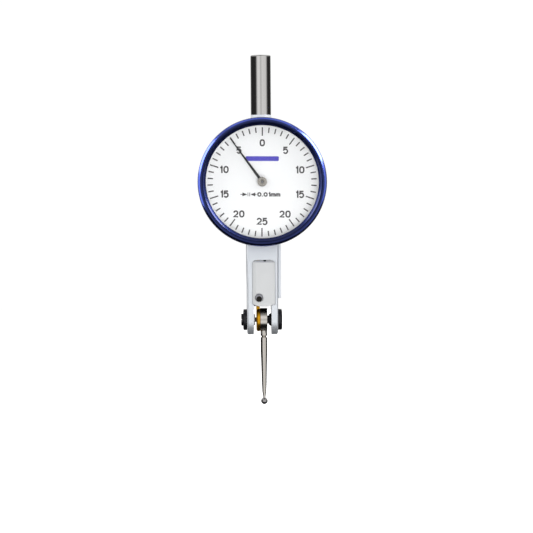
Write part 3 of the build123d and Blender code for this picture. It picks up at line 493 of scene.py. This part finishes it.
def bezel_section():
    """The bezel's section, from the crystal's lip round the outside and back."""
    front, back, crest = BEZEL_FRONT, BEZEL_BACK, BEZEL_R - CREST_DROP
    points = section_points([(WINDOW_R, CRYSTAL_FRONT)])
    points += section_points([(WINDOW_R + out, front + drop) for out, drop in LIP_BEVEL])
    points += section_points([(FINE_GROOVE_R + out, front + drop) for out, drop in FINE_GROOVE])
    points += section_points(arc((BEZEL_R - SHOULDER, front + SHOULDER), SHOULDER, -90, -4, 14))
    points += section_points([(crest, RIM_BACK), (crest - GRIP_STEP, RIM_BACK + RIM_CHAMFER)])
    points += section_points([(crest - GRIP_STEP, GRIP_FRONT)])
    points += section_points([(crest, GRIP_FRONT + GRIP_STEP), (crest, GRIP_BACK - GRIP_STEP)], knurled=1)
    points += section_points([(crest - GRIP_STEP, GRIP_BACK)])
    points += section_points([(crest - REAR_GROOVE_DEPTH, y) for y in REAR_GROOVE])
    points += section_points([(crest, REAR_RIM), (crest, back - REAR_CHAMFER), (crest - REAR_CHAMFER, back)])
    points += section_points([(SKIRT_R, back), (SKIRT_R, INNER_STEP)])
    points += section_points([(SEAT_R + SEAT_GAP, INNER_STEP), (SEAT_R + SEAT_GAP, CRYSTAL_FRONT)])
    return points


def turned_mesh(name, section, count):
    """Closed ring about the dial's axis. Knurled points of the section are cut by the coin edge."""
    bm = bmesh.new()
    rows = []
    for r, y, knurled in section:
        row = []
        for i in range(count):
            turn = 2 * math.pi * i / count
            cut = knurl_cut(turn) if knurled else 0.0
            x, z = (r - cut) * math.sin(turn), (r - cut) * math.cos(turn)
            row.append(bm.verts.new((DIAL_CENTRE.x + x, y, DIAL_CENTRE.z + z)))
        rows.append(row)
    for k, row in enumerate(rows):
        nxt = rows[(k + 1) % len(rows)]
        for i in range(count):
            j = (i + 1) % count
            bm.faces.new((row[i], row[j], nxt[j], nxt[i]))
    return to_mesh(bm, name)


def make_bezel():
    mesh = turned_mesh("bezel_ring", bezel_section(), KNURL_TEETH * 6)
    ring = new_object("bezel_ring", mesh, anodised_blue("bezel_blue"), "bezel_group", 32)
    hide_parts("bezel")


# ---- dial print ----------------------------------------------------------------------------------
INK_THICK = 0.015 * MM
DIAL_TURN = math.radians(LEAN + 0.2)  # the print is turned back against the object's lean
TICK_OUTER, TICK_LONG_INNER, TICK_SHORT_INNER = 16.1 * MM, 13.55 * MM, 14.5 * MM
TICK_WIDTH = 0.37 * MM
DIVISIONS = 50
NUMERAL_HEIGHT = 2.1 * MM
# (text, how far to each side of the dial's centre, how far above it) in millimetres
NUMERALS = (
    ("0", 0, 11.5),
    ("5", 6.85, 9.35),
    ("10", 11.15, 3.6),
    ("15", 11.1, -3.6),
    ("20", 6.8, -9.45),
    ("25", 0, -11.6),
)
SIGN_Z = -3.7 * MM
SIGN_TEXT_X, SIGN_TEXT_HEIGHT = 1.95 * MM, 1.2 * MM
SIGN_LINE, SIGN_HEAD, SIGN_HALF_HEAD = 0.19 * MM, 1.45 * MM, 0.56 * MM
SIGN_ARROWS = ((-6.4 * MM, -4.35 * MM), (-1.6 * MM, -3.45 * MM))  # (tail, tip) of each
BAR_HALF, BAR_LOW, BAR_HIGH, BAR_CORNER = 4.9 * MM, 6.15 * MM, 7.55 * MM, 0.35 * MM
INK_WIDTH, LETTER_GAP = 0.212, 0.13  # of a numeral's height


def dial_point(x, z, depth=0.0):
    """A place on the print from (x, z) measured from the dial's centre."""
    c, s = math.cos(DIAL_TURN), math.sin(DIAL_TURN)
    return (DIAL_CENTRE.x + x * c + z * s, DIAL_FRONT + depth, DIAL_CENTRE.z - x * s + z * c)


def slab(bm, corners):
    """A thin closed plate on the dial from its outline, (x, z) from the dial's centre."""
    front = [bm.verts.new(dial_point(x, z, -INK_THICK)) for x, z in corners]
    back = [bm.verts.new(dial_point(x, z, INK_THICK)) for x, z in corners]
    bm.faces.new(front)
    bm.faces.new(back[::-1])
    for i in range(len(corners)):
        j = (i + 1) % len(corners)
        bm.faces.new((front[j], front[i], back[i], back[j]))


def ribbon(bm, path, width, closed=False):
    """A stroke of ink of even width along a path of (x, z) points from the dial's centre."""
    points = [Vector(p) for p in path]
    count = len(points)
    rows = []
    for i, here in enumerate(points):
        before = points[i - 1] if closed or i > 0 else here * 2 - points[1]
        after = points[(i + 1) % count] if closed or i < count - 1 else here * 2 - points[-2]
        way_in, way_out = (here - before).normalized(), (after - here).normalized()
        along = (way_in + way_out).normalized()
        side = Vector((-along.y, along.x)) * width / 2 / max(0.6, along.dot(way_in))
        left, right = here + side, here - side
        row = ((left, -INK_THICK), (right, -INK_THICK), (right, INK_THICK), (left, INK_THICK))
        rows.append([bm.verts.new(dial_point(p.x, p.y, depth)) for p, depth in row])
    for i in range(count if closed else count - 1):
        row, after = rows[i], rows[(i + 1) % count]
        for k in range(4):
            m = (k + 1) % 4
            bm.faces.new((row[k], row[m], after[m], after[k]))
    if not closed:
        bm.faces.new(rows[0][::-1])
        bm.faces.new(rows[-1])


def squared_ring(rx, rz, count, power=0.78):
    """An upright ring with flattened sides, for a nought."""
    points = []
    for i in range(count):
        a = 2 * math.pi * i / count
        c, s = math.cos(a), math.sin(a)
        points.append((rx * math.copysign(abs(c) ** power, c), rz * math.copysign(abs(s) ** power, s)))
    return points


TOP = 0.5 - INK_WIDTH / 2  # of a stroke's middle, with the numeral's height as 1
# each glyph: (width, list of (path, closed)), paths measured from the glyph's middle
GLYPHS = {
    "0": (0.76, [(squared_ring(0.38 - INK_WIDTH / 2, TOP, 32), True)]),
    "1": (0.36, [([(-0.12, 0.24), (0.02, 0.30), (0.10, 0.44), (0.11, 0.40), (0.11, -0.5)], False)]),
    "2": (0.68, [(ellipse(0, TOP - 0.26, 0.265, 0.26, 168, -38, 14)
                  + [(-0.27, -TOP), (0.34, -TOP)], False)]),
    "5": (0.66, [([(0.27, TOP), (-0.20, TOP), (-0.255, 0.03)]
                  + ellipse(-0.01, -0.145, 0.275, 0.29, 132, -155, 16), False)]),
    "m": (0.80, [([(-0.34, -0.5), (-0.34, 0.05)] + ellipse(-0.17, 0.05, 0.17, 0.14, 165, 15, 6)
                  + [(0.0, 0.05), (0.0, -0.5)], False),
                 (ellipse(0.17, 0.05, 0.17, 0.14, 165, 15, 6) + [(0.34, 0.05), (0.34, -0.5)], False)]),
    ".": (0.16, [([(0, -0.5), (0, -0.5 + INK_WIDTH)], False)]),
}


def write(bm, text, x, z, height, weight=1.0, stretch=1.0):
    """Text centred at x, z from the dial's centre. weight thickens its strokes and stretch widens it."""
    widths = [GLYPHS[letter][0] for letter in text]
    pen = -(sum(widths) + LETTER_GAP * (len(text) - 1)) / 2
    for letter, wide in zip(text, widths):
        for path, closed in GLYPHS[letter][1]:
            placed = [(x + (pen + wide / 2 + px) * height * stretch, z + pz * height) for px, pz in path]
            ribbon(bm, placed, INK_WIDTH * weight * height, closed)
        pen += wide + LETTER_GAP


def make_ticks(made):
    bm = bmesh.new()
    for i in range(DIVISIONS):
        turn = 2 * math.pi * i / DIVISIONS
        inner = TICK_LONG_INNER if i % 5 == 0 else TICK_SHORT_INNER
        along = Vector((math.sin(turn), math.cos(turn)))
        half = Vector((math.cos(turn), -math.sin(turn))) * TICK_WIDTH / 2
        corners = ((inner, -1), (TICK_OUTER, -1), (TICK_OUTER, 1), (inner, 1))
        slab(bm, [tuple(along * r + side * half) for r, side in corners])
    new_object("dial_ticks", to_mesh(bm, "dial_ticks"), made, "bezel_group")


def make_numerals(made):
    bm = bmesh.new()
    for text, x, z in NUMERALS:
        for side in (1, -1) if x else (1,):
            write(bm, text, side * x * MM, z * MM, NUMERAL_HEIGHT)
    new_object("dial_numerals", to_mesh(bm, "dial_numerals"), made, "bezel_group")


def make_graduation_sign(made):
    """The value of a division, with two arrowheads facing each other across one division."""
    bm = bmesh.new()
    write(bm, "0.01mm", SIGN_TEXT_X, SIGN_Z, SIGN_TEXT_HEIGHT, weight=1.45, stretch=1.3)
    low, high = SIGN_Z - SIGN_HALF_HEAD, SIGN_Z + SIGN_HALF_HEAD
    for tail, tip in SIGN_ARROWS:
        way = int(math.copysign(1, tip - tail))
        neck, mark = tip - way * SIGN_HEAD, tip + way * SIGN_LINE
        ribbon(bm, [(tail, SIGN_Z), (neck, SIGN_Z)], SIGN_LINE)
        slab(bm, [(neck, low), (tip, SIGN_Z), (neck, high)][::way])
        ribbon(bm, [(mark, low), (mark, high)], SIGN_LINE)
    new_object("dial_graduation_sign", to_mesh(bm, "dial_graduation_sign"), made, "bezel_group")


def make_bar(made):
    """Plain coloured bar above the pointer's hub."""
    bm = bmesh.new()
    side, low, high = BAR_HALF - BAR_CORNER, BAR_LOW + BAR_CORNER, BAR_HIGH - BAR_CORNER
    outline = []
    for x, z, start in ((side, low, -90), (side, high, 0), (-side, high, 90), (-side, low, 180)):
        outline += ellipse(x, z, BAR_CORNER, BAR_CORNER, start, start + 90, 6)
    slab(bm, outline)
    new_object("dial_bar", to_mesh(bm, "dial_bar"), made, "bezel_group")


make_bezel()
black_ink = ink("dial_ink", (0.034, 0.028, 0.030))
make_ticks(black_ink)
make_numerals(black_ink)
make_graduation_sign(black_ink)
make_bar(ink("dial_blue_ink", (0.042, 0.030, 0.38)))


# ---- studio --------------------------------------------------------------------------------------
# soft edges of what the metals mirror, as components of the direction it lies in
SCREEN_EDGE, SCREEN_TOP, SCREEN_FOOT = (0.32, 0.76), (0.44, 0.92), (-0.46, -0.82)
SCREEN_LEAN = 0.2
LENS_EDGE, BEHIND_EDGE, OVERHEAD_EDGE = (0.978, 0.996), (0.70, 0.95), (0.10, 0.45)
# (name, direction from the dial's centre, size in metres, watts)
RING_LIGHTS = (
    ("right", (0.80, -0.26, 0.54), (0.66, 0.26), 9.5),
    ("left", (-0.87, -0.12, 0.44), (0.60, 0.28), 3.9),
    ("low_left", (-1, -0.1, -0.08), (0.55, 0.30), 1.1),
    ("low_right", (1, -0.1, 0.0), (0.55, 0.30), 0.55),
    ("top", (0, -0.1, 1), (0.55, 0.55), 0.6),
)
# (name, direction, watts)
FILL_LIGHTS = (
    ("front", (0.15, -1, -0.35), 3.5),
    ("left", (-1, -0.2, 0.2), 3.0),
    ("right", (1, -0.2, 0.2), 3.0),
    ("top", (0, 0, 1), 3.5),
    ("back", (0, 1, 0.2), 3.5),
    ("under", (0, 0, -1), 0.4),
)
RING_DISTANCE, FILL_DISTANCE, FILL_SIZE = 0.5, 0.7, (0.5, 0.5)


def make_world():
    """White behind the object. The metals mirror a bright screen in front and darker surroundings."""
    world = bpy.data.worlds.new("studio")
    bpy.context.scene.world = world
    world.use_nodes = True
    t = Nodes(world.node_tree)
    way = t.add("ShaderNodeSeparateXYZ", {0: t.add("ShaderNodeTexCoord").outputs["Generated"]}).outputs
    forward, aside = t.math("MULTIPLY", way[1], -1.0), t.math("ABSOLUTE", way[0])
    leaning = t.math("ADD", forward, t.math("MULTIPLY", way[0], SCREEN_LEAN))
    screen = t.product(t.step(leaning, *SCREEN_EDGE), t.span(way[0], -0.7, 0.7, 1.12, 0.95))
    screen = t.fade(t.fade(screen, t.step(way[2], *SCREEN_TOP)), t.step(way[2], *SCREEN_FOOT))
    lens_gap = t.span(t.step(forward, *LENS_EDGE), 0.0, 1.0, 1.0, 0.7)
    behind = t.product(t.step(way[1], *BEHIND_EDGE), 0.45)
    overhead = t.product(t.step(way[2], *OVERHEAD_EDGE), t.span(aside, 0.0, 0.35, 0.25, 0.7))
    level = t.math("MAXIMUM", t.product(screen, lens_gap), t.math("MAXIMUM", overhead, behind))
    level = t.math("ADD", level, t.span(way[2], -0.5, 0.2, 0.012, 0.035))
    seen = t.add("ShaderNodeLightPath").outputs["Is Camera Ray"]
    mirrored = t.product(level, t.math("SUBTRACT", 1.0, seen))
    level = t.math("ADD", t.product(seen, 1.02), mirrored)
    back = t.add("ShaderNodeBackground", {"Color": rgba(1, 1, 1), "Strength": level})
    t.add("ShaderNodeOutputWorld", {"Surface": back.outputs[0]})


def area_light(name, way, distance, size, power, mirrored):
    """An area light aimed at the dial's centre, either only seen mirrored or only lighting surfaces."""
    data = bpy.data.lights.new(name, "AREA")
    data.shape = "RECTANGLE"
    data.size, data.size_y = size
    data.energy = power
    light = bpy.data.objects.new(name, data)
    bpy.context.scene.collection.objects.link(light)
    way = Vector(way).normalized()
    light.location = DIAL_CENTRE + way * distance
    along = Vector((0, 1, 0)) if abs(way.y) < 0.7 else Vector((0, 0, 1))
    down = way.cross(along).normalized()
    light.rotation_mode = "QUATERNION"
    light.rotation_quaternion = Matrix((down.cross(way), down, way)).transposed().to_quaternion()
    light.visible_camera = False
    light.visible_glossy = mirrored
    light.visible_diffuse = not mirrored
    return light


def make_lights():
    """The ring lights are mirrored by the bezel alone. The fills light everything and are never mirrored."""
    ring_only = bpy.data.collections.new("ring_only")
    ring_only.objects.link(bpy.data.objects["bezel_ring"])
    for name, way, size, power in RING_LIGHTS:
        light = area_light("ring_" + name, way, RING_DISTANCE, size, power, mirrored=True)
        light.light_linking.receiver_collection = ring_only
    for name, way, power in FILL_LIGHTS:
        area_light("fill_" + name, way, FILL_DISTANCE, FILL_SIZE, power, mirrored=False)


def make_floor():
    bm = bmesh.new()
    half, drop = 6.0, 0.03
    low = cad_low[2] - drop
    for x, y in ((-half, -half), (half, -half), (half, half), (-half, half)):
        bm.verts.new((x, y, low))
    bm.faces.new(bm.verts)
    made, t = material("floor_white")
    paper = t.noise(t.place(), 20.0, 3.0)
    base = t.mix(paper, rgba(0.90, 0.90, 0.90), rgba(0.93, 0.93, 0.93))
    finish_material(t, base, 0.8, **{"Emission Color": rgba(1, 1, 1), "Emission Strength": 1.0})
    mesh = to_mesh(bm, "floor")
    mesh.materials.append(made)
    floor = bpy.data.objects.new("floor", mesh)
    bpy.context.scene.collection.objects.link(floor)
    floor.visible_glossy = False
    floor.visible_diffuse = False
    floor.visible_shadow = False


def make_camera():
    """A long lens level with the object and a little to its left, rolled so that the object leans."""
    lens, sensor = 300.0, 36.0
    width, ahead = 156.7 * MM, 10 * MM  # what the picture spans, and how far ahead of the stem's axis
    aim_x, height = 1.31 * MM, -44.9 * MM
    data = bpy.data.cameras.new("camera")
    data.lens, data.sensor_width = lens, sensor
    data.clip_start, data.clip_end = 0.01, 50
    camera = bpy.data.objects.new("camera", data)
    bpy.context.scene.collection.objects.link(camera)
    distance = width / 2 / (sensor / 2 / lens)
    yaw, away = math.radians(YAW), distance + ahead
    camera.location = (aim_x - away * math.sin(yaw), -away * math.cos(yaw), height)
    camera.rotation_euler = (math.radians(90), math.radians(LEAN), -yaw)
    bpy.context.scene.camera = camera


make_world()
make_lights()
make_floor()
make_camera()
bpy.context.scene.view_settings.view_transform = "Standard"
